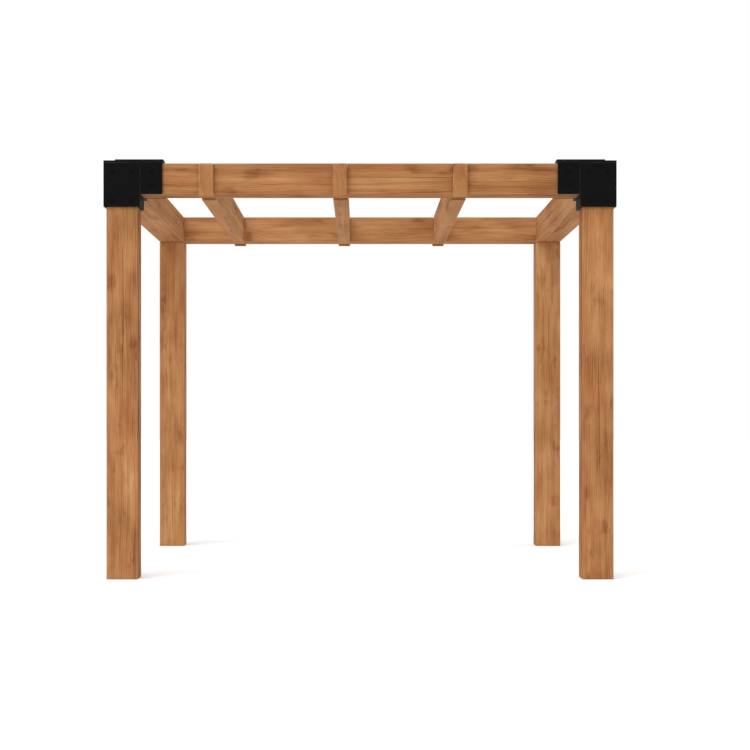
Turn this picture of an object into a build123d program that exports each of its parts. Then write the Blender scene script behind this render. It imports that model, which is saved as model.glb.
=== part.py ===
from build123d import *
import os

# A garden arbor: four posts carry a level square of four beams, and three rafters are halved over
# the front and the rear beam. The front corners are held in welded steel brackets, the rear corners
# by timber laps over the posts.
# Millimetres, +Z up, +X to the right, +Y to the rear, origin on the ground under the middle.

# Overall sizes: plan over the outer faces of the posts, and ground to the undersides of the beams
frame_width = 2450.0
frame_depth = 2450.0
headroom = 1860.0

# Timber sections: posts and beams are one stock, as wide as the brackets are made for
timber_side = 150.0
beam_depth = 150.0
rafter_width = 70.0
rafter_depth = 160.0
arris_radius = 4.0
end_chamfer = 3.0

# Rafters: places across the clear span between the front posts, counted from the left
rafter_names = ("left_rafter", "middle_rafter", "right_rafter")
rafter_place_shares = (0.155, 0.455, 0.725)
rafter_tail = 30.0
tail_bevel = 12.0
halving_play = 1.0
halving_seat_share = 0.5

# Corner laps of the rear beam: the share of the beam's depth that stays under the side beam
corner_lap_share = 0.5

# Brackets
plate_thickness = 10.0
bracket_play = 3.0
socket_skirt = 61.0
socket_edge_radius = 3.0
saddle_reach = 108.0
bend_radius = 5.0
tie_width = 80.0
tie_thickness = 12.0
tie_corner_radius = 6.0
tie_throat_radius = 30.0
plate_ease = 1.5

# Every cut runs past the faces it opens by this much
overrun = 5.0

# Centre lines of the posts, which the beams share
post_x = (frame_width - timber_side) / 2
post_y = (frame_depth - timber_side) / 2

# Levels
beam_top = headroom + beam_depth
post_top = beam_top + bracket_play
cap_top = post_top + plate_thickness
rafter_base = beam_top - rafter_depth
halving_seat = headroom + beam_depth * halving_seat_share
corner_seat = headroom + beam_depth * corner_lap_share

# Plan sizes that several pieces share
socket_side = timber_side + 2 * (bracket_play + plate_thickness)
bracket_reach = socket_side / 2 + saddle_reach
rear_beam_front = post_y - timber_side / 2
rear_beam_back = post_y + timber_side / 2
clear_span = 2 * post_x - timber_side
rafter_places = [clear_span * (share - 1 / 2) for share in rafter_place_shares]

on_ground = (Align.CENTER, Align.CENTER, Align.MIN)


def squared_timber(x_size, y_size, z_size, grain):
    """A sawn timber standing on the origin, with the edges along its grain and its ends eased."""
    block = Box(x_size, y_size, z_size, align=on_ground)
    block = fillet(block.edges().filter_by(grain), arris_radius)
    return ease_ends(block, grain)


def ease_ends(block, grain):
    """Chamfers the edges round the two sawn ends."""
    faces = block.faces().filter_by(grain).sort_by(grain)
    return chamfer(faces[0].edges() + faces[-1].edges(), end_chamfer)


def post(x, y, top):
    """A square post from the ground up to the given level."""
    return Pos(x, y, 0) * squared_timber(timber_side, timber_side, top, Axis.Z)


def cross_beam(length, y):
    """A beam across the frame, housed from above for the rafters."""
    beam = Pos(0, y, headroom) * squared_timber(length, timber_side, beam_depth, Axis.X)
    housing_width = rafter_width + 2 * halving_play
    housing_depth = beam_top - halving_seat + overrun
    housing = Box(housing_width, timber_side + 2 * overrun, housing_depth, align=on_ground)
    for x in rafter_places:
        beam -= Pos(x, y, halving_seat) * housing
    return beam


def rear_beam():
    """The rear beam lies on the rear posts, with the upper half of each end cut away for a lap."""
    beam = cross_beam(2 * post_x + timber_side, post_y)
    lap_length = timber_side + overrun
    lap_depth = beam_top - corner_seat + overrun
    lap = Box(lap_length, timber_side + 2 * overrun, lap_depth, align=on_ground)
    for side in (-1, 1):
        beam -= Pos(side * (post_x + overrun / 2), post_y, corner_seat) * lap
    return beam


def side_beam(x):
    """A beam from the front bracket's socket to the rear, its end lapped over the rear beam."""
    front = socket_side / 2 - post_y
    length = rear_beam_back - front
    beam = Pos(x, front + length / 2, headroom) * squared_timber(timber_side, length, beam_depth, Axis.Y)
    lap_length = rear_beam_back - rear_beam_front + overrun
    lap_depth = corner_seat - headroom + overrun
    lap = Box(timber_side + 2 * overrun, lap_length, lap_depth, align=on_ground)
    return beam - Pos(x, rear_beam_front + lap_length / 2, headroom - overrun) * lap


def rafter(x):
    """A rafter cross-halved over both beams, with short tails whose tops are bevelled to shed rain."""
    tail_end = rear_beam_back + rafter_tail
    bar = Box(rafter_width, 2 * tail_end, rafter_depth, align=on_ground)
    bar = fillet(bar.edges().filter_by(Axis.Y), arris_radius)
    bevel = Polyline(
        (rear_beam_back, rafter_depth), (tail_end, rafter_depth - tail_bevel),
        (tail_end + overrun, rafter_depth - tail_bevel), (tail_end + overrun, rafter_depth + overrun),
        (rear_beam_back, rafter_depth + overrun), close=True,
    )
    bevel = extrude(Plane.YZ * make_face(bevel), rafter_width, both=True)
    bar = bar - bevel - mirror(bevel, about=Plane.XZ)
    bar = Pos(x, 0, rafter_base) * ease_ends(bar, Axis.Y)
    notch_width = timber_side + 2 * halving_play
    notch_depth = halving_seat - rafter_base + overrun
    notch = Box(rafter_width + 2 * overrun, notch_width, notch_depth, align=on_ground)
    for y in (-post_y, post_y):
        bar -= Pos(x, y, rafter_base - overrun) * notch
    return bar


def bracket_post_socket():
    """A square sleeve welded from four plates, open below, that slips down over the post."""
    base = headroom - socket_skirt
    bore_side = timber_side + 2 * bracket_play
    ring = RectangleRounded(socket_side, socket_side, socket_edge_radius) - Rectangle(bore_side, bore_side)
    sleeve = extrude(ring, post_top - base)
    lip = sleeve.faces().sort_by(Axis.Z)[0].outer_wire().edges()
    return Pos(0, 0, base) * chamfer(lip, plate_ease)


def bracket_cap():
    """The plate that closes the sleeve and bears on the end of the post."""
    plate = extrude(RectangleRounded(socket_side, socket_side, socket_edge_radius), plate_thickness)
    return Pos(0, 0, post_top) * chamfer(plate.faces().sort_by(Axis.Z)[-1].edges(), plate_ease)


def bracket_saddle(section_plane):
    """A plate folded to an upside-down U over the end of a beam, welded to the sleeve."""
    inner_width = timber_side + 2 * bracket_play
    inner_height = post_top - headroom
    outer_width = inner_width + 2 * plate_thickness
    outer_height = inner_height + plate_thickness
    flat_base = (Align.CENTER, Align.MIN)
    outer = Rectangle(outer_width, outer_height, align=flat_base)
    outer = fillet(outer.vertices().group_by(Axis.Y)[-1], bend_radius + plate_thickness)
    inner = Rectangle(inner_width, inner_height, align=flat_base)
    inner = fillet(inner.vertices().group_by(Axis.Y)[-1], bend_radius)
    saddle = extrude(outer - inner, saddle_reach)
    mouth = saddle.faces().sort_by(Axis.Z)[-1].edges()
    return section_plane * chamfer(mouth, plate_ease)


def bracket_tie_plate():
    """A flat L-shaped strap welded over the cap and both saddles."""
    half = tie_width / 2
    outline = Polyline(
        (-half, -half), (bracket_reach, -half), (bracket_reach, half),
        (half, half), (half, bracket_reach), (-half, bracket_reach), close=True,
    )
    strap = make_face(outline)
    throat = (half, half, 0)
    strap = fillet(strap.vertices().sort_by_distance(throat)[0], tie_throat_radius)
    # The two ends of the throat's arc are now the nearest to it, and the square corners come after
    strap = fillet(strap.vertices().sort_by_distance(throat)[2:], tie_corner_radius)
    strap = extrude(strap, tie_thickness)
    return Pos(0, 0, cap_top) * chamfer(strap.faces().sort_by(Axis.Z)[-1].edges(), plate_ease)


def left_bracket():
    """The pieces of the left bracket, about the upright axis of its post."""
    along_beam = Plane((socket_side / 2, 0, headroom), x_dir=(0, 1, 0), z_dir=(1, 0, 0))
    along_side = Plane((0, socket_side / 2, headroom), x_dir=(-1, 0, 0), z_dir=(0, 1, 0))
    return {
        "bracket_post_socket": bracket_post_socket(),
        "bracket_cap": bracket_cap(),
        "bracket_beam_saddle": bracket_saddle(along_beam),
        "bracket_side_saddle": bracket_saddle(along_side),
        "bracket_tie_plate": bracket_tie_plate(),
    }


pieces = {
    "front_beam": cross_beam(2 * post_x - socket_side, -post_y),
    "rear_beam": rear_beam(),
}
for side_name, side in (("left", -1), ("right", 1)):
    pieces[f"front_{side_name}_post"] = post(side * post_x, -post_y, post_top)
    pieces[f"rear_{side_name}_post"] = post(side * post_x, post_y, headroom)
    pieces[f"{side_name}_side_beam"] = side_beam(side * post_x)
for name, x in zip(rafter_names, rafter_places):
    pieces[name] = rafter(x)
for name, piece in left_bracket().items():
    placed = Pos(-post_x, -post_y, 0) * piece
    pieces[f"left_{name}"] = placed
    pieces[f"right_{name}"] = mirror(placed, about=Plane.YZ)

os.makedirs("parts", exist_ok=True)
for name, piece in pieces.items():
    export_step(piece, f"parts/{name}.step")
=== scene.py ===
import math
import random

import bmesh
import bpy
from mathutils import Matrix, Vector


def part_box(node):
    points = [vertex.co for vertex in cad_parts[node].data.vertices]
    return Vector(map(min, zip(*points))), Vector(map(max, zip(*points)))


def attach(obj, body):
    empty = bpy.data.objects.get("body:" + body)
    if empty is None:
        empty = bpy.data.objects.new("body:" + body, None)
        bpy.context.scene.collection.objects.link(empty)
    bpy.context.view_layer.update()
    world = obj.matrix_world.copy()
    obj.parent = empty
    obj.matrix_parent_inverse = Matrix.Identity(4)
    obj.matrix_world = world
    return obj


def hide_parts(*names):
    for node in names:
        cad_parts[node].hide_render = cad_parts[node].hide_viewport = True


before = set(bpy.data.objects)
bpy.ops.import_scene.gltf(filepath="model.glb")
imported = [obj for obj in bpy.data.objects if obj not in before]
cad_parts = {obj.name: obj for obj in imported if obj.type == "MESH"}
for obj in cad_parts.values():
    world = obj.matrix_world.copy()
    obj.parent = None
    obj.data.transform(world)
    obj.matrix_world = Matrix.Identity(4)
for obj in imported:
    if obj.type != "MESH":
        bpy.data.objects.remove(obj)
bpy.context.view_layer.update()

# Posts
# Four posts of square softwood, sawn beside the heart, planed, and oiled to a warm tan. They stand straight
# on the ground, and their faces have split along the grain as the timber dried.


def add_node(tree, kind, sockets, **settings):
    """Adds a node, fills its sockets with values, a link or a list of links, and returns its outputs."""
    node = tree.nodes.new(kind)
    for key, value in settings.items():
        setattr(node, key, value)
    for key, value in sockets.items():
        sources = value if isinstance(value, list) else [value]
        if isinstance(sources[0], bpy.types.NodeSocket):
            for source in sources:
                tree.links.new(source, node.inputs[key])
        else:
            node.inputs[key].default_value = value
    return node.outputs


def reckon(tree, operation, *values):
    """One step of arithmetic in a node tree."""
    return add_node(tree, "ShaderNodeMath", dict(enumerate(values)), operation=operation)[0]


def vector_step(tree, operation, *values):
    """One step of vector arithmetic in a node tree."""
    outputs = add_node(tree, "ShaderNodeVectorMath", dict(enumerate(values)), operation=operation)
    return outputs["Value" if operation in ("LENGTH", "DOT_PRODUCT") else "Vector"]


def fade(tree, value, start, end):
    """A soft step from 0 at the start to 1 at the end."""
    return add_node(
        tree, "ShaderNodeMapRange", {"Value": value, "From Min": start, "From Max": end},
        interpolation_type="SMOOTHSTEP",
    )[0]


def ramp(tree, value, stops):
    """A colour ramp through stops of (position, colour)."""
    outputs = add_node(tree, "ShaderNodeValToRGB", {"Fac": value})
    elements = outputs[0].node.color_ramp.elements
    while len(elements) < len(stops):
        elements.new(1.0)
    for element, (position, colour) in zip(elements, stops):
        element.position = position
        element.color = (*colour, 1.0)
    return outputs["Color"]


def tint(tree, amount, colour, other, blend="MIX"):
    """Mixes a colour with another by the amount, or darkens it by the other in MULTIPLY."""
    return add_node(
        tree, "ShaderNodeMix", {"Factor": amount, "A": colour, "B": (*other, 1.0)},
        data_type="RGBA", blend_type=blend,
    )["Result"]


def grain_noise(tree, place, seed, across, along, detail=2.0):
    """Noise in the timber's own frame, with so many features a metre across and along the grain."""
    scaled = vector_step(tree, "MULTIPLY", place, (across, across, along))
    return add_node(
        tree, "ShaderNodeTexNoise", {"Vector": scaled, "W": seed, "Scale": 1.0, "Detail": detail},
        noise_dimensions="4D",
    )


def way_from_heart(tree, given, drawn, end_gap):
    """The way across the grain from the heart, and its length. The heart wanders between the ends, which
    draws the rings out to arches on the faces."""
    wander_reach = 0.055
    straight_end = 0.3
    raggedness = 0.012
    noise_middle = (0.5, 0.5, 0.5)
    wander = grain_noise(tree, drawn, given["Seed"], across=1.5, along=1.1)["Color"]
    wander = vector_step(tree, "SUBTRACT", wander, noise_middle)
    wander = vector_step(tree, "MULTIPLY", wander, fade(tree, end_gap, 0.0, straight_end))
    way = vector_step(tree, "SUBTRACT", given["Place"], given["Heart"])
    way = vector_step(tree, "MULTIPLY_ADD", wander, (wander_reach, wander_reach, 0.0), way)
    way = vector_step(tree, "MULTIPLY", way, (1.0, 1.0, 0.0))
    ragged = grain_noise(tree, drawn, given["Seed"], across=28.0, along=1.4, detail=3.0)["Fac"]
    return way, reckon(tree, "MULTIPLY_ADD", ragged, raggedness, vector_step(tree, "LENGTH", way))


def knots_and_swirl(tree, given, way):
    """Where a branch ran out from the heart: the knot that it left, and the swirl of grain round it."""
    spacing = 0.24
    height_share = 0.8
    knot_rim, knot_core = 0.019, 0.010
    swirl_rim, swirl_core = 0.045, 0.006
    swirl_squeeze = 0.4
    spot = vector_step(tree, "MULTIPLY", given["Place"], (0.0, 0.0, height_share))
    way = vector_step(tree, "NORMALIZE", way)
    spot = vector_step(tree, "MULTIPLY_ADD", way, given["Branch Reach"], spot)
    spot = vector_step(tree, "ADD", spot, given["Seed"])
    branch = add_node(tree, "ShaderNodeTexVoronoi", {"Vector": spot, "Scale": 1 / spacing})["Position"]
    gap = vector_step(tree, "SUBTRACT", spot, branch)
    knot = fade(tree, vector_step(tree, "LENGTH", gap), knot_rim, knot_core)
    gap = vector_step(tree, "MULTIPLY", gap, (1.0, 1.0, swirl_squeeze))
    return knot, fade(tree, vector_step(tree, "LENGTH", gap), swirl_rim, swirl_core)


def year_rings(tree, radius, seed):
    """Pale early wood that darkens slowly to late wood, and one tone for each year. Good years are wider."""
    year_width = 0.0085
    weather_changes_a_metre = 45.0
    weather_share = 0.9
    early, middling, dark = (0, 0, 0), (0.3, 0.3, 0.3), (1, 1, 1)
    weather = reckon(tree, "MULTIPLY_ADD", radius, weather_changes_a_metre, seed)
    weather = add_node(tree, "ShaderNodeTexNoise", {"W": weather, "Scale": 1.0}, noise_dimensions="1D")["Fac"]
    years = reckon(tree, "DIVIDE", radius, year_width)
    years = reckon(tree, "MULTIPLY_ADD", weather, weather_share, years)
    season = reckon(tree, "FRACT", years)
    late = ramp(tree, season, ((0.0, early), (0.55, middling), (0.9, dark), (1.0, early)))
    year = reckon(tree, "ADD", reckon(tree, "FLOOR", years), seed)
    year_tone = add_node(tree, "ShaderNodeTexWhiteNoise", {"W": year}, noise_dimensions="1D")["Value"]
    return late, year_tone


def timber_figure():
    """The figure of the wood: rings and knots round the heart, streaks, fibres, smudges and wear."""
    tree = bpy.data.node_groups.new("timber_figure", "ShaderNodeTree")
    for name, kind in {
        "Place": "NodeSocketVector", "Heart": "NodeSocketVector", "Half Size": "NodeSocketVector",
        "Branch Reach": "NodeSocketVector", "Grain": "NodeSocketVector",
        "Seed": "NodeSocketFloat", "Tone": "NodeSocketFloat", "Stretch": "NodeSocketFloat",
    }.items():
        tree.interface.new_socket(name, in_out="INPUT", socket_type=kind)
    for name, kind in {
        "Color": "NodeSocketColor", "Roughness": "NodeSocketFloat", "Height": "NodeSocketFloat",
    }.items():
        tree.interface.new_socket(name, in_out="OUTPUT", socket_type=kind)
    given = tree.nodes.new("NodeGroupInput").outputs
    place, seed = given["Place"], given["Seed"]
    inset = vector_step(tree, "SUBTRACT", given["Half Size"], vector_step(tree, "ABSOLUTE", place))
    inset = add_node(tree, "ShaderNodeSeparateXYZ", {0: inset})

    # A straighter timber has a longer figure: its noise is drawn out along the grain
    shrink = reckon(tree, "DIVIDE", 1.0, given["Stretch"])
    shrink = add_node(tree, "ShaderNodeCombineXYZ", {"X": 1.0, "Y": 1.0, "Z": shrink})[0]
    drawn = vector_step(tree, "MULTIPLY", place, shrink)

    # The rings bend round the knots
    swirl_push = 0.014
    way, radius = way_from_heart(tree, given, drawn, inset["Z"])
    knot, swirl = knots_and_swirl(tree, given, way)
    late, year_tone = year_rings(tree, reckon(tree, "MULTIPLY_ADD", swirl, swirl_push, radius), seed)

    # Long streaks, fine fibres and open pores, with broad blotches and a few smudges over them
    pore_start, pore_full = 0.57, 0.66
    smudge_start, smudge_full = 0.55, 0.74
    streaks = grain_noise(tree, drawn, seed, across=46.0, along=2.2, detail=3.0)["Fac"]
    fibres = grain_noise(tree, drawn, seed, across=560.0, along=7.0, detail=5.0)["Fac"]
    pores = grain_noise(tree, drawn, seed, across=1100.0, along=20.0, detail=1.0)["Fac"]
    pores = fade(tree, pores, pore_start, pore_full)
    blotches = grain_noise(tree, drawn, seed, across=9.0, along=3.4)["Fac"]
    smudges = grain_noise(tree, drawn, seed, across=20.0, along=7.5)["Fac"]
    smudges = fade(tree, smudges, smudge_start, smudge_full)

    # All of it adds up to one lightness, about a half. On a sawn end the rings show more, the rest less
    end_start, end_full = 0.6, 0.9
    ring_gain, rest_gain = 0.6, -0.7
    facing = add_node(tree, "ShaderNodeNewGeometry", {})["Normal"]
    end = reckon(tree, "ABSOLUTE", vector_step(tree, "DOT_PRODUCT", facing, given["Grain"]))
    end = fade(tree, end, end_start, end_full)
    rings = reckon(tree, "MULTIPLY_ADD", end, ring_gain, 1.0)
    rest = reckon(tree, "MULTIPLY_ADD", end, rest_gain, 1.0)
    light = given["Tone"]
    for part, middle, share, strength in (
        (late, 0.0, -0.20, rings),
        (year_tone, 0.0, -0.13, rings),
        (streaks, 0.5, 0.84, rest),
        (fibres, 0.5, 0.64, rest),
        (pores, 0.0, -0.16, rest),
        (blotches, 0.5, 1.05, rest),
        (smudges, 0.0, -0.27, rest),
        (knot, 0.0, -0.16, rest),
    ):
        part = reckon(tree, "MULTIPLY", reckon(tree, "SUBTRACT", part, middle), strength)
        light = reckon(tree, "MULTIPLY_ADD", part, share, light)
    oiled_tans = (
        (0.0, (0.196, 0.076, 0.026)),
        (0.3, (0.320, 0.137, 0.049)),
        (0.55, (0.421, 0.194, 0.075)),
        (0.8, (0.505, 0.253, 0.105)),
        (1.0, (0.580, 0.310, 0.142)),
    )
    colour = ramp(tree, light, oiled_tans)

    # A reddish cast comes and goes along the timber, and the knots are redder
    red_cast = (0.93, 0.76, 0.74)
    cast_strength = 0.7
    cast_start, cast_full = 0.45, 0.72
    cast_seed_step = 5.0
    cast_seed = reckon(tree, "ADD", seed, cast_seed_step)
    red = grain_noise(tree, drawn, cast_seed, across=14.0, along=2.0)["Fac"]
    red = reckon(tree, "MULTIPLY", fade(tree, red, cast_start, cast_full), cast_strength)
    colour = tint(tree, reckon(tree, "MAXIMUM", red, knot), colour, red_cast, "MULTIPLY")

    # Handling wears the arrises paler in places
    worn_wood = (0.60, 0.35, 0.18)
    edge_paling_strength = 0.4
    edge_paling_raggedness = 0.014
    paling_rim, paling_core = 0.013, 0.006
    arris = reckon(tree, "ADD", inset["X"], inset["Y"])
    arris = reckon(tree, "MULTIPLY_ADD", streaks, edge_paling_raggedness, arris)
    arris = reckon(tree, "MULTIPLY", fade(tree, arris, paling_rim, paling_core), edge_paling_strength)
    colour = tint(tree, arris, colour, worn_wood)

    # Sawn ends drink more oil than the faces
    oil_shade = (0.80, 0.72, 0.66)
    oil_strength = 0.32
    colour = tint(tree, reckon(tree, "MULTIPLY", end, oil_strength), colour, oil_shade, "MULTIPLY")

    # Late wood stands a little proud, and the pores are open
    late_height, pore_height = 0.35, -0.3
    roughness_spread, roughness_base = 0.22, 0.66
    roughness = reckon(tree, "MULTIPLY_ADD", fibres, roughness_spread, roughness_base)
    height = reckon(tree, "MULTIPLY_ADD", pores, pore_height, fibres)
    height = reckon(tree, "MULTIPLY_ADD", late, late_height, height)
    add_node(tree, "NodeGroupOutput", {"Color": colour, "Roughness": roughness, "Height": height})
    return tree


figure = timber_figure()


def oiled_timber(name, grain, heart, seed, tone_and_shade_lift, stretch):
    """The finish of one timber: its own heart, seed and tone, with the grain along its own axis. The tone is
    lifted on timbers that stand in shade, which is painted light.
    """
    material = bpy.data.materials.new(name + "_oiled")
    material.use_nodes = True
    tree = material.node_tree
    low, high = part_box(name)
    middle, half = (low + high) / 2, (high - low) / 2
    order = [axis for axis in range(3) if axis != grain] + [grain]
    reach = max(math.hypot(*heart), half[order[0]])
    spot = add_node(tree, "ShaderNodeTexCoord", {})["Object"]
    spot = add_node(tree, "ShaderNodeSeparateXYZ", {0: vector_step(tree, "SUBTRACT", spot, middle)})
    place = add_node(tree, "ShaderNodeCombineXYZ", {i: spot[axis] for i, axis in enumerate(order)})[0]
    wood = add_node(tree, "ShaderNodeGroup", {}, node_tree=figure)[0].node
    tree.links.new(place, wood.inputs["Place"])
    for key, value in {
        "Heart": (*heart, 0.0),
        "Half Size": [half[axis] for axis in order],
        "Branch Reach": (reach, reach, 0.0),
        "Grain": [float(axis == grain) for axis in range(3)],
        "Seed": seed,
        "Tone": tone_and_shade_lift,
        "Stretch": stretch,
    }.items():
        wood.inputs[key].default_value = value
    relief = {"Strength": 0.5, "Distance": 0.0006, "Height": wood.outputs["Height"]}
    shader = tree.nodes["Principled BSDF"]
    shader.inputs["Specular IOR Level"].default_value = 0.05
    tree.links.new(wood.outputs["Color"], shader.inputs["Base Color"])
    tree.links.new(wood.outputs["Roughness"], shader.inputs["Roughness"])
    tree.links.new(add_node(tree, "ShaderNodeBump", relief)["Normal"], shader.inputs["Normal"])
    return material


def painted_check_shade():
    """Painted shade inside a drying check: dark brown for the shade in the deep narrow split, a little
    lighter in places.
    """
    # Two browns of painted shade, mixed by fine noise
    darker_shade, lighter_shade = (0.055, 0.022, 0.009), (0.125, 0.056, 0.024)
    material = bpy.data.materials.new("drying_check_painted_shade")
    material.use_nodes = True
    tree = material.node_tree
    spot = add_node(tree, "ShaderNodeTexCoord", {})["Object"]
    fibre = add_node(tree, "ShaderNodeTexNoise", {"Vector": spot, "Scale": 160.0, "Detail": 3.0})["Fac"]
    shader = tree.nodes["Principled BSDF"]
    shader.inputs["Roughness"].default_value = 0.9
    shader.inputs["Specular IOR Level"].default_value = 0.1
    tree.links.new(ramp(tree, fibre, ((0.3, darker_shade), (0.7, lighter_shade))), shader.inputs["Base Color"])
    return material


check_shade_material = painted_check_shade()


def split_wedge(shape, start, run, out, length, width, depth, draw):
    """Adds a thin closed wedge that tapers to both ends and wanders a little, to cut one drying check."""
    clear = 0.001
    station_pitch = 0.02
    fewest_stations = 8
    tip_share = 0.05
    fullness = 0.7
    long_turns, short_turns = (0.5, 1.3), (2.5, 5.0)
    long_sway, short_sway = 0.0022, 0.0007
    lip_shares = (0.40, 0.60)
    side = run.cross(out)
    stations = max(fewest_stations, round(length / station_pitch))
    bends = [
        (draw.uniform(*long_turns), draw.random(), long_sway),
        (draw.uniform(*short_turns), draw.random(), short_sway),
    ]
    rows = []
    for index in range(stations + 1):
        share = index / stations
        swell = tip_share + (1 - tip_share) * math.sin(math.pi * share) ** fullness
        middle = start + run * length * share
        for turns, phase, sway in bends:
            middle += side * sway * math.sin(2 * math.pi * (turns * share + phase))
        left, right = (swell * width * draw.uniform(*lip_shares) for _ in range(2))
        corners = (out * clear - side * left, -out * depth * swell, out * clear + side * right)
        rows.append([shape.verts.new(middle + corner) for corner in corners])
    for row, following in zip(rows, rows[1:]):
        for index in range(len(row)):
            other = (index + 1) % len(row)
            shape.faces.new((row[index], row[other], following[other], following[index]))
    shape.faces.new(rows[0])
    shape.faces.new(rows[-1])


def face_checks(shape, grain, middle, half, draw):
    """Adds three checks on each broad face of a timber: one long, two short."""
    lane_shares = (0.0, -0.38, 0.38)
    lane_drift = 0.1
    length_shares = ((0.20, 0.42), (0.07, 0.17), (0.05, 0.14))
    widths = (0.0024, 0.0016, 0.0013)
    width_shares = (0.7, 1.0)
    depth_shares = (0.32, 0.20, 0.16)
    narrow_half = 0.05
    end_margin_share = 0.05
    run = Vector([float(axis == grain) for axis in range(3)])
    for face in range(3):
        side = 3 - grain - face
        if face == grain or half[side] < narrow_half:
            continue
        for sign in (-1, 1):
            out = Vector([sign * float(axis == face) for axis in range(3)])
            for lane, lengths, width, depth in zip(lane_shares, length_shares, widths, depth_shares):
                length = 2 * half[grain] * draw.uniform(*lengths)
                start = middle + out * half[face]
                start[side] += half[side] * (lane + draw.uniform(-lane_drift, lane_drift))
                slack = half[grain] * 2 * (1 - end_margin_share) - length
                start[grain] += slack * (draw.random() - 0.5) - length / 2
                width *= draw.uniform(*width_shares)
                split_wedge(shape, start, run, out, length, width, depth * half[face], draw)


def end_checks(shape, grain, middle, half, heart, draw):
    """Adds up to three checks that run out from the heart on each end of a timber."""
    rays = 3
    ray_drift = 0.2
    lengths = (0.022, 0.046)
    width = 0.0014
    depth = 0.030
    heart_gap = 0.004
    edge_gap = 0.012
    across = [axis for axis in range(3) if axis != grain]
    run = Vector([float(axis == grain) for axis in range(3)])
    for sign in (-1, 1):
        out = run * sign
        start = middle + out * half[grain]
        first_turn = draw.uniform(0, 2 * math.pi)
        for axis, offset in zip(across, heart):
            start[axis] += offset
        for index in range(rays):
            turn = first_turn + 2 * math.pi * (index + draw.uniform(-ray_drift, ray_drift)) / rays
            ray = Vector((0, 0, 0))
            ray[across[0]], ray[across[1]] = math.cos(turn), math.sin(turn)
            room = min(
                (math.copysign(half[axis] - edge_gap, ray[axis]) - offset) / ray[axis]
                for axis, offset in zip(across, heart)
            )
            length = min(draw.uniform(*lengths), room - heart_gap)
            if length > lengths[0] / 2:
                split_wedge(shape, start + ray * heart_gap, ray, out, length, width, depth, draw)


def drying_checks(name, grain, heart, seed):
    """Only a timber that holds its heart splits at the ends."""
    low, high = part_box(name)
    middle, half = (low + high) / 2, (high - low) / 2
    across = [axis for axis in range(3) if axis != grain]
    draw = random.Random(seed)
    shape = bmesh.new()
    face_checks(shape, grain, middle, half, draw)
    if all(abs(offset) < half[axis] for offset, axis in zip(heart, across)):
        end_checks(shape, grain, middle, half, heart, draw)
    bmesh.ops.recalc_face_normals(shape, faces=shape.faces)
    mesh = bpy.data.meshes.new(name + "_checks")
    shape.to_mesh(mesh)
    shape.free()
    # The wedges carry the painted shade of the checks' insides
    mesh.materials.append(check_shade_material)
    return mesh


def new_piece(name, data):
    """An object at the origin. A piece has its place in its mesh."""
    piece = bpy.data.objects.new(name, data)
    bpy.context.scene.collection.objects.link(piece)
    return piece


def settle(piece):
    """Turns what the piece's modifiers make into its own plain mesh."""
    graph = bpy.context.evaluated_depsgraph_get()
    shown = piece.evaluated_get(graph)
    mesh = bpy.data.meshes.new_from_object(shown, preserve_all_data_layers=True, depsgraph=graph)
    piece.modifiers.clear()
    piece.data = mesh


def seasoned_timber(name, grain, heart, seed, tone_and_shade_lift, stretch):
    """A copy of a timber of the frame, which it stands for, split where it dried and with its own figure."""
    merge_gap = 0.00002
    flat_angle = math.radians(0.5)
    sharp_angle = math.radians(35)
    shape = bmesh.new()
    shape.from_mesh(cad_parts[name].data)
    bmesh.ops.remove_doubles(shape, verts=shape.verts, dist=merge_gap)
    bmesh.ops.dissolve_limit(shape, angle_limit=flat_angle, verts=shape.verts, edges=shape.edges)
    shape.verts.index_update()
    corners = [vert.co.copy() for vert in shape.verts]
    faces = [[vert.index for vert in face.verts] for face in shape.faces]
    shape.free()
    mesh = bpy.data.meshes.new(name + "_timber")
    mesh.from_pydata(corners, [], faces)
    mesh.materials.append(oiled_timber(name, grain, heart, seed, tone_and_shade_lift, stretch))
    timber = new_piece(name + "_timber", mesh)
    wedges = new_piece(name + "_checks", drying_checks(name, grain, heart, seed))
    cut = timber.modifiers.new("drying checks", "BOOLEAN")
    cut.operation = "DIFFERENCE"
    cut.solver = "EXACT"
    # Faces cut by the wedges take the wedges' painted shade material
    cut.material_mode = "TRANSFER"
    cut.object = wedges
    settle(timber)
    bpy.data.objects.remove(wedges)
    timber.data.shade_smooth()
    timber.data.set_sharp_from_angle(angle=sharp_angle)
    even = timber.modifiers.new("even arrises", "WEIGHTED_NORMAL")
    even.keep_sharp = True
    settle(timber)
    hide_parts(name)
    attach(timber, "root")


x_grain, y_grain, z_grain = range(3)
post_stretch = 0.7
# The tones differ at random, and the rear posts' are lifted as painted light against the shade they stand in
for name, heart, seed, tone_and_shade_lift in (
    ("front_left_post", (0.15, 0.03), 3.1, 0.64),
    ("front_right_post", (-0.17, 0.04), 11.7, 0.61),
    ("rear_left_post", (0.13, -0.05), 23.4, 0.76),
    ("rear_right_post", (-0.14, 0.06), 37.9, 0.85),
):
    seasoned_timber(name, z_grain, heart, seed, tone_and_shade_lift, post_stretch)

# Brackets
# Two three-way corner brackets welded from steel plate: a sleeve and cap over the post, a folded saddle
# over each beam end and a flat strap on top, all under one matt black powder coat.


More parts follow.
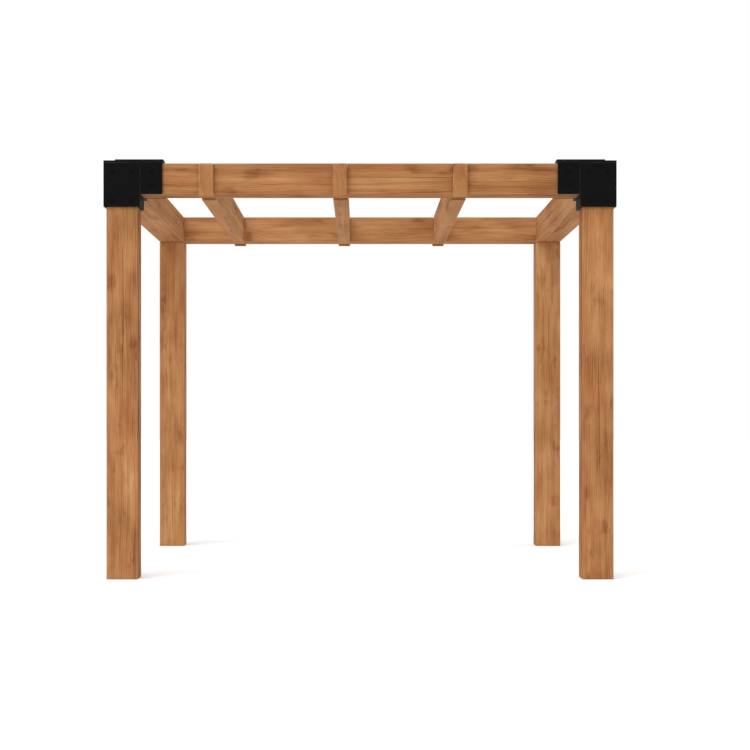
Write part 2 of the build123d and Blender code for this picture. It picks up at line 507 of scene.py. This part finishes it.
def black_coat(name, plate=None):
    """Black powder coat with a fine orange peel. On a plate it is worn thin and paler along the edges, and
    this paler edge is also a painted highlight.
    """
    deep_black, soft_black = (0.0020, 0.0020, 0.0022), (0.0034, 0.0034, 0.0037)
    worn_and_highlit_black = (0.030, 0.029, 0.028)
    edge_paling_strength = 0.7
    edge_paling_raggedness = 0.007
    paling_rim, paling_core = 0.0065, 0.0025
    wear_polish = -0.10
    roughness_spread, roughness_base = 0.22, 0.52
    material = bpy.data.materials.new(name + "_black_coat")
    material.use_nodes = True
    tree = material.node_tree
    spot = add_node(tree, "ShaderNodeTexCoord", {})["Object"]
    peel = add_node(tree, "ShaderNodeTexNoise", {"Vector": spot, "Scale": 520.0, "Detail": 2.0})["Fac"]
    cloud = add_node(tree, "ShaderNodeTexNoise", {"Vector": spot, "Scale": 22.0, "Detail": 3.0})["Fac"]
    colour = ramp(tree, cloud, ((0.3, deep_black), (0.7, soft_black)))
    roughness = reckon(tree, "MULTIPLY_ADD", cloud, roughness_spread, roughness_base)
    if plate:
        # Near an edge of the plate's box two of the three gaps to its sides are small
        low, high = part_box(plate)
        inset = vector_step(tree, "ABSOLUTE", vector_step(tree, "SUBTRACT", spot, (low + high) / 2))
        inset = vector_step(tree, "SUBTRACT", (high - low) / 2, inset)
        x, y, z = add_node(tree, "ShaderNodeSeparateXYZ", {0: inset})
        total = reckon(tree, "ADD", reckon(tree, "ADD", x, y), z)
        widest = reckon(tree, "MAXIMUM", reckon(tree, "MAXIMUM", x, y), z)
        edge = reckon(tree, "SUBTRACT", total, widest)
        edge = reckon(tree, "MULTIPLY_ADD", cloud, edge_paling_raggedness, edge)
        edge_wear_and_highlight = fade(tree, edge, paling_rim, paling_core)
        # Paler plate edges: worn coat, and also a painted highlight along the edges
        colour = tint(tree, reckon(tree, "MULTIPLY", edge_wear_and_highlight, edge_paling_strength), colour, worn_and_highlit_black)
        roughness = reckon(tree, "MULTIPLY_ADD", edge_wear_and_highlight, wear_polish, roughness)
    shader = tree.nodes["Principled BSDF"]
    shader.inputs["Specular IOR Level"].default_value = 0.06
    tree.links.new(colour, shader.inputs["Base Color"])
    tree.links.new(roughness, shader.inputs["Roughness"])
    relief = {"Strength": 0.35, "Distance": 0.0002, "Height": peel}
    tree.links.new(add_node(tree, "ShaderNodeBump", relief)["Normal"], shader.inputs["Normal"])
    return material


for name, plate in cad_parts.items():
    if "bracket" in name:
        plate.material_slots[0].material = black_coat(name, plate=name)

# Bracket welds
# Rippled beads that join the strap to the cap and the saddles, the saddles to each other in the inner
# corner, and their tops to the cap. The seams on the outer faces are ground flush before the coat goes on.


def shape_tree(name, titles):
    """A new tree that makes shapes, with its named inputs. Returns it, its inputs and their identifiers."""
    tree = bpy.data.node_groups.new(name, "GeometryNodeTree")
    for way in ("INPUT", "OUTPUT"):
        tree.interface.new_socket("Geometry", in_out=way, socket_type="NodeSocketGeometry")
    keys = {}
    for title, kind in titles.items():
        keys[title] = tree.interface.new_socket(title, in_out="INPUT", socket_type=kind).identifier
    return tree, tree.nodes.new("NodeGroupInput").outputs, keys


def grow(piece, tree, keys, values):
    """Lets a tree make its shapes on the piece's points or paths, and keeps them as a plain mesh."""
    growth = piece.modifiers.new(tree.name, "NODES")
    growth.node_group = tree
    for title, value in values.items():
        growth[keys[title]] = value
    settle(piece)


def weld_bead_tree():
    """Draws each path as a bead that swells with every step of the torch and thins at its ends."""
    rings_a_step = 4.0
    sides = 10
    tip_share = 0.45
    taper_rate = 30.0
    tree, given, keys = shape_tree("weld_beads", {
        "Radius": "NodeSocketFloat", "Step": "NodeSocketFloat", "Swell": "NodeSocketFloat",
        "Coat": "NodeSocketMaterial",
    })
    path = add_node(tree, "GeometryNodeMeshToCurve", {"Mesh": given["Geometry"]})[0]
    pitch = reckon(tree, "DIVIDE", given["Step"], rings_a_step)
    path = add_node(tree, "GeometryNodeResampleCurve", {"Curve": path, "Length": pitch}, mode="LENGTH")[0]
    along = add_node(tree, "GeometryNodeSplineParameter", {})
    turns = reckon(tree, "MULTIPLY", reckon(tree, "DIVIDE", along["Length"], given["Step"]), 2 * math.pi)
    swell = reckon(tree, "MULTIPLY_ADD", reckon(tree, "SINE", turns), given["Swell"], 1.0)
    end_gap = reckon(tree, "PINGPONG", along["Factor"], 0.5)
    taper = reckon(tree, "MINIMUM", reckon(tree, "MULTIPLY_ADD", end_gap, taper_rate, tip_share), 1.0)
    thickness = reckon(tree, "MULTIPLY", reckon(tree, "MULTIPLY", given["Radius"], swell), taper)
    ring = add_node(tree, "GeometryNodeCurvePrimitiveCircle", {"Resolution": sides, "Radius": 1.0})[0]
    bead = add_node(tree, "GeometryNodeCurveToMesh", {
        "Curve": path, "Profile Curve": ring, "Scale": thickness, "Fill Caps": True,
    })[0]
    bead = add_node(tree, "GeometryNodeRealizeInstances", {0: bead})[0]
    bead = add_node(tree, "GeometryNodeSetMaterial", {"Geometry": bead, "Material": given["Coat"]})[0]
    add_node(tree, "NodeGroupOutput", {"Geometry": bead})
    return tree, keys


def elbow(corner, radius, reach):
    """Plan points of an L whose corner lies on the diagonal, rounded, from one arm's end to the other's."""
    steps = 8
    points = [(reach, corner)]
    for index in range(steps + 1):
        turn = math.pi / 2 * index / steps
        points.append((corner + radius * (1 - math.sin(turn)), corner + radius * (1 - math.cos(turn))))
    points.append((corner, reach))
    return points


def bracket_seams():
    """The seams of the left bracket, as lists of points about the post's axis, in plan and true height."""
    strap_corner = 0.006
    strap_throat = 0.030
    saddle_bend = 0.015
    foot_gap = 0.004
    sunk = 0.0022
    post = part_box("front_left_post")
    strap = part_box("left_bracket_tie_plate")
    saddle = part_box("left_bracket_beam_saddle")
    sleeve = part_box("left_bracket_post_socket")
    axis = (post[0].x + post[1].x) / 2
    sleeve_half = sleeve[1].x - axis
    strap_half = axis - strap[0].x
    strap_end = strap[1].x - axis - strap_corner
    top = strap[0].z
    seams = []
    for corner, radius in ((-strap_half, strap_corner), (strap_half, strap_throat)):
        seams.append([(x, y, top) for x, y in elbow(corner, radius, strap_end)])
    inner_corner = (saddle[0].z + foot_gap, top - saddle_bend)
    seams.append([(sleeve_half, sleeve_half, z) for z in inner_corner])
    for near, far in ((saddle_bend - sleeve_half, -strap_half), (strap_half, sleeve_half - saddle_bend)):
        seams.append([(sleeve_half, y, top - sunk) for y in (near, far)])
        seams.append([(x, sleeve_half, top - sunk) for x in (near, far)])
    return seams


post_low, post_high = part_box("front_left_post")
post_axis = (post_low + post_high) / 2
corners, runs = [], []
for hand in (1, -1):
    for seam in bracket_seams():
        first = len(corners)
        corners += [(hand * (post_axis.x + x), post_axis.y + y, z) for x, y, z in seam]
        runs += [(index, index + 1) for index in range(first, len(corners) - 1)]
paths = bpy.data.meshes.new("bracket_welds")
paths.from_pydata(corners, runs, [])
welds = new_piece("bracket_welds", paths)
bead_tree, bead_keys = weld_bead_tree()
grow(welds, bead_tree, bead_keys, {
    "Radius": 0.0042, "Step": 0.0036, "Swell": 0.10, "Coat": black_coat("weld"),
})
welds.data.shade_smooth()
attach(welds, "root")

# Beams
# Four beams of the same stock as the posts. The front beam's ends slip into the brackets, the side beams
# run back from them, and at the rear each side beam is lapped over the end of the rear beam.
# The rear and side beams' tones are lifted as painted light against the shade on their seen faces
for name, grain, heart, seed, tone_and_shade_lift, stretch in (
    ("front_beam", x_grain, (0.03, -0.16), 41.3, 0.58, 1.0),
    ("rear_beam", x_grain, (0.050, 0.02), 53.6, 0.76, 1.0),
    ("left_side_beam", y_grain, (0.03, 0.01), 67.2, 0.80, 2.5),
    ("right_side_beam", y_grain, (-0.02, 0.02), 71.8, 0.80, 2.5),
):
    seasoned_timber(name, grain, heart, seed, tone_and_shade_lift, stretch)

# Rafters
# Three deep narrow timbers, sawn well away from the heart and halved over the front and the rear beam, so
# that their tops lie level with the beams. Their short tails are bevelled to shed rain.
# The rafters' tone is lifted as painted light against the shade on their sides and undersides
rafter_tone_lifted_for_shade = 0.76
rafter_stretch = 2.5
for name, heart, seed in (
    ("left_rafter", (0.24, 0.03), 83.5),
    ("middle_rafter", (-0.22, -0.05), 97.1),
    ("right_rafter", (0.26, 0.06), 103.3),
):
    seasoned_timber(name, y_grain, heart, seed, rafter_tone_lifted_for_shade, rafter_stretch)

# Bracket screws
# Black hexagon-headed structural screws with washers, driven through the plates into the posts and beams.
# The outer sides of the brackets and the sides of the sleeves have none.


def screw_tree(name, recessed):
    """Sets a flat round head with a hexagon on it, or cut into it, on every point, square to its facing."""
    round_sides, hexagon_sides = 32, 6
    sunk = 0.0005
    washer_share = 0.93
    crown_share = 0.86
    crown_height = 0.001
    tree, given, keys = shape_tree(name, {
        "Washer Radius": "NodeSocketFloat", "Washer Height": "NodeSocketFloat",
        "Head Radius": "NodeSocketFloat", "Head Height": "NodeSocketFloat",
        "Seed": "NodeSocketInt", "Coat": "NodeSocketMaterial",
    })
    washer_radius, head_radius = given["Washer Radius"], given["Head Radius"]

    def stub(sides, foot, crown, base, height):
        """A closed stub of a cone that stands on the given level."""
        body = add_node(tree, "GeometryNodeMeshCone", {
            "Vertices": sides, "Radius Bottom": foot, "Radius Top": crown, "Depth": height,
        })["Mesh"]
        lift = add_node(tree, "ShaderNodeCombineXYZ", {"Z": base})[0]
        return add_node(tree, "GeometryNodeTransform", {"Geometry": body, "Translation": lift})[0]

    def joined(operation, solids):
        """One closed solid made of others."""
        return add_node(tree, "GeometryNodeMeshBoolean", solids, operation=operation, solver="EXACT")[0]

    washer_edge = reckon(tree, "MULTIPLY", washer_radius, washer_share)
    washer = stub(round_sides, washer_radius, washer_edge, -sunk, given["Washer Height"])
    head_base = reckon(tree, "SUBTRACT", given["Washer Height"], 2 * sunk)
    head = stub(hexagon_sides, head_radius, head_radius, head_base, given["Head Height"])
    if recessed:
        screw = joined("DIFFERENCE", {"Mesh 1": washer, "Mesh 2": head})
    else:
        crown_base = reckon(tree, "ADD", head_base, given["Head Height"])
        crown_edge = reckon(tree, "MULTIPLY", head_radius, crown_share)
        crown = stub(hexagon_sides, head_radius, crown_edge, crown_base, crown_height)
        screw = joined("UNION", {"Mesh 2": [washer, head, crown]})
    facing = add_node(
        tree, "GeometryNodeInputNamedAttribute", {"Name": "facing"}, data_type="FLOAT_VECTOR"
    )[0]
    square = add_node(tree, "FunctionNodeAlignRotationToVector", {"Vector": facing}, axis="Z")[0]
    # Input 3 is the greatest turn and output 1 the turn, as plain numbers
    turn = add_node(tree, "FunctionNodeRandomValue", {3: math.pi / 3, "Seed": given["Seed"]})[1]
    turn = add_node(tree, "FunctionNodeAxisAngleToRotation", {"Axis": (0.0, 0.0, 1.0), "Angle": turn})[0]
    turned = add_node(
        tree, "FunctionNodeRotateRotation", {"Rotation": square, "Rotate By": turn}, rotation_space="LOCAL"
    )[0]
    screws = add_node(tree, "GeometryNodeInstanceOnPoints", {
        "Points": given["Geometry"], "Instance": screw, "Rotation": turned,
    })[0]
    screws = add_node(tree, "GeometryNodeRealizeInstances", {0: screws})[0]
    screws = add_node(tree, "GeometryNodeSetMaterial", {"Geometry": screws, "Material": given["Coat"]})[0]
    add_node(tree, "NodeGroupOutput", {"Geometry": screws})
    return tree, keys


def drive_screws(name, places, recessed, sizes):
    """Drives a screw at each place, given as a point and the way its head faces."""
    points = bpy.data.meshes.new(name)
    points.from_pydata([place for place, facing in places], [], [])
    facings = points.attributes.new("facing", "FLOAT_VECTOR", "POINT")
    facings.data.foreach_set("vector", [number for place, facing in places for number in facing])
    screws = new_piece(name, points)
    tree, keys = screw_tree(name, recessed)
    grow(screws, tree, keys, sizes)
    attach(screws, "root")


screw_coat = black_coat("screw")
spread = 0.045
front, rear, inward = (0, -1, 0), (0, 1, 0), (1, 0, 0)
sleeve_low, sleeve_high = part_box("left_bracket_post_socket")
saddle_low, saddle_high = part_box("left_bracket_beam_saddle")
face = sleeve_high.x - post_axis.x
saddle_middle = (saddle_low.x + saddle_high.x) / 2 - post_axis.x
skirt_level = (sleeve_low.z + saddle_low.z) / 2
lower_level = saddle_low.z + spread
upper_level = sleeve_high.z - spread
left_places = []
for level in (lower_level, upper_level):
    left_places.append(((saddle_middle, -face, level), front))
    left_places.append(((saddle_middle, face, level), rear))
    left_places.append(((face, saddle_middle, level), inward))
for offset in (-spread, spread):
    left_places.append(((offset, -face, skirt_level), front))
    left_places.append(((offset, -face, upper_level), front))
    left_places.append(((offset, face, skirt_level), rear))
places = []
for hand in (1, -1):
    for (x, y, z), (facing_x, facing_y, facing_z) in left_places:
        place = (hand * (post_axis.x + x), post_axis.y + y, z)
        places.append((place, (hand * facing_x, facing_y, facing_z)))
drive_screws("bracket_screws", places, False, {
    "Washer Radius": 0.0095, "Washer Height": 0.0026, "Head Radius": 0.0062, "Head Height": 0.0052,
    "Seed": 4, "Coat": screw_coat,
})

# Rafter and lap screws
# Black wafer-headed screws with a hexagon socket, driven down from above until they sit nearly flush: two
# through each rafter where it crosses a beam, and four through each rear lap into the post below.
pair_half = 0.035
up = (0, 0, 1)
places = []
for beam in ("front_beam", "rear_beam"):
    beam_low, beam_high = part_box(beam)
    for rafter in ("left_rafter", "middle_rafter", "right_rafter"):
        rafter_low, rafter_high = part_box(rafter)
        for offset in (-pair_half, pair_half):
            x = (rafter_low.x + rafter_high.x) / 2
            y = (beam_low.y + beam_high.y) / 2 + offset
            places.append(((x, y, rafter_high.z), up))
lap_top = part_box("left_side_beam")[1].z
for post in ("rear_left_post", "rear_right_post"):
    post_low, post_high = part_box(post)
    middle = (post_low + post_high) / 2
    for x_offset in (-pair_half, pair_half):
        for y_offset in (-pair_half, pair_half):
            places.append(((middle.x + x_offset, middle.y + y_offset, lap_top), up))
drive_screws("timber_screws", places, True, {
    "Washer Radius": 0.0090, "Washer Height": 0.0022, "Head Radius": 0.0036, "Head Height": 0.0040,
    "Seed": 9, "Coat": screw_coat,
})

# Studio
# A wide pale floor and an even white sky, with one broad soft lamp from the front left. What the camera and
# reflections see of floor and sky is lifted to white, while the light that they give stays plain.
floor_reach = 60.0
paper_grey = 0.88
paper_lift = 0.26
sky_light = 0.72
white = (1, 1, 1, 1)


def seen_directly(tree):
    """1 where the camera, a reflection or a view through glass meets the surface, else 0."""
    ray = add_node(tree, "ShaderNodeLightPath", {})
    direct = reckon(tree, "MAXIMUM", ray["Is Camera Ray"], ray["Is Glossy Ray"])
    return reckon(tree, "MAXIMUM", direct, ray["Is Transmission Ray"])


floor_mesh = bpy.data.meshes.new("studio_floor")
floor_corners = [(floor_reach * x, floor_reach * y, 0) for x, y in ((-1, -1), (1, -1), (1, 1), (-1, 1))]
floor_mesh.from_pydata(floor_corners, [], [(0, 1, 2, 3)])
floor = new_piece("studio_floor", floor_mesh)
pale = bpy.data.materials.new("studio_floor_white")
pale.use_nodes = True
tree = pale.node_tree
tree.nodes.clear()
paper = add_node(tree, "ShaderNodeBsdfDiffuse", {"Color": (paper_grey, paper_grey, paper_grey, 1.0)})[0]
glow = add_node(tree, "ShaderNodeEmission", {"Color": white, "Strength": paper_lift})[0]
lifted = add_node(tree, "ShaderNodeAddShader", {0: paper, 1: glow})[0]
chosen = add_node(tree, "ShaderNodeMixShader", {0: seen_directly(tree), 1: paper, 2: lifted})[0]
add_node(tree, "ShaderNodeOutputMaterial", {"Surface": chosen})
floor_mesh.materials.append(pale)

world = bpy.data.worlds.new("studio")
bpy.context.scene.world = world
world.use_nodes = True
tree = world.node_tree
tree.nodes.clear()
strength = reckon(tree, "MULTIPLY_ADD", seen_directly(tree), 1 - sky_light, sky_light)
sky = add_node(tree, "ShaderNodeBackground", {"Color": white, "Strength": strength})[0]
add_node(tree, "ShaderNodeOutputWorld", {"Surface": sky})

key = bpy.data.lights.new("key", "SUN")
key.energy = 1.55
key.angle = math.radians(50)
lamp = new_piece("key", key)
lamp.rotation_euler = (math.radians(48), 0, math.radians(-24))

# Camera
# Level and straight in front of the arbor's middle, framed by shift as in the photograph. Rows and columns
# count the photograph's pixels, and the scale holds on the front faces of the front posts.
image_side = 750
metres_a_pixel = 0.00483
horizon_row = 420
middle_column = 360
ground_row = 579.5
camera = bpy.data.cameras.new("camera")
camera.lens = 86.0
camera.sensor_width = 36.0
camera.shift_x = 0.5 - middle_column / image_side
camera.shift_y = horizon_row / image_side - 0.5
eye = new_piece("camera", camera)
front_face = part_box("front_left_post")[0].y
distance = image_side * metres_a_pixel * camera.lens / camera.sensor_width
eye.location = (0, front_face - distance, (ground_row - horizon_row) * metres_a_pixel)
eye.rotation_euler = (math.radians(90), 0, 0)
bpy.context.scene.camera = eye
bpy.context.scene.view_settings.view_transform = "Standard"
